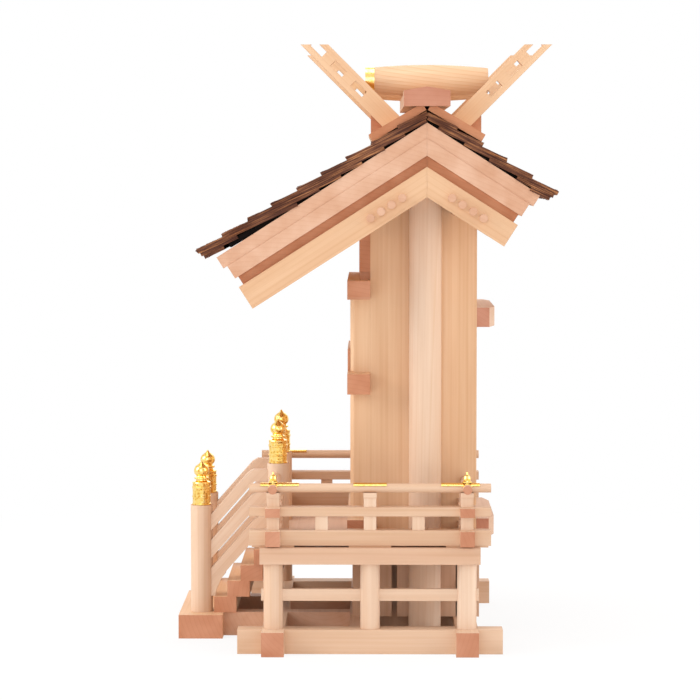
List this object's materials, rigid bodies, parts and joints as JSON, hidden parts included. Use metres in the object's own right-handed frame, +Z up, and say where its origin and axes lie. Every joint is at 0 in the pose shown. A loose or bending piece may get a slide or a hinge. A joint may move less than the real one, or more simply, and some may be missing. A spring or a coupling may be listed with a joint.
{
  "type": "miniature household shrine",
  "caption": "Wooden miniature shrine with bark gable roof, forked finials, ridge logs, railed veranda and a short flight of log steps.",
  "frame": {"origin": "middle of the outline's plan, on the ground", "axes": "+X along the ridge to the right of someone facing the back, +Y from the stairs to the back, +Z up"},
  "size_m": [0.294, 0.2892, 0.4574],
  "materials": {
    "hinoki": "planed, unfinished",
    "bark": "rough bark strips",
    "gilt": "polished, gilt"
  },
  "bodies": {
    "root": {"base_side_beams": "hinoki", "base_cross_beams": "hinoki", "inner_base_beams": "hinoki", "veranda_posts": "hinoki", "tie_rails": "hinoki", "side_edge_beams": "hinoki", "cross_edge_beams": "hinoki", "floor_board": "hinoki", "side_ground_rails": "hinoki", "cross_ground_rails": "hinoki", "side_middle_rails": "hinoki", "cross_middle_rails": "hinoki", "side_top_poles": "hinoki", "cross_top_poles": "hinoki", "rail_struts": "hinoki", "bearing_blocks": "hinoki", "rail_gilding": "gilt", "stair_block": "hinoki", "step_1": "hinoki", "step_2": "hinoki", "step_3": "hinoki", "step_4": "hinoki", "stair_foot_posts": "hinoki", "stair_head_posts": "hinoki", "stair_rails": "hinoki", "finials": "gilt", "body_legs": "hinoki", "ridge_pillars": "hinoki", "side_walls": "hinoki", "back_wall": "hinoki", "rear_bars": "hinoki", "threshold_bar": "hinoki", "middle_bar": "hinoki", "lintel_bar": "hinoki", "front_trim": "hinoki", "front_posts": "hinoki", "doors": "hinoki", "transom_board": "hinoki", "upper_front_board": "hinoki", "purlins": "hinoki", "top_roof_boards": "hinoki", "second_roof_boards": "hinoki", "third_roof_boards": "hinoki", "barge_boards": "hinoki", "gable_pegs": "hinoki", "bark_roofing": "bark", "saddle_boards": "hinoki", "ridge_cap": "hinoki", "ridge_logs": "hinoki", "log_caps": "gilt", "forked_finials": "hinoki", "fork_blocks": "hinoki"}
  },
  "joints": []
}
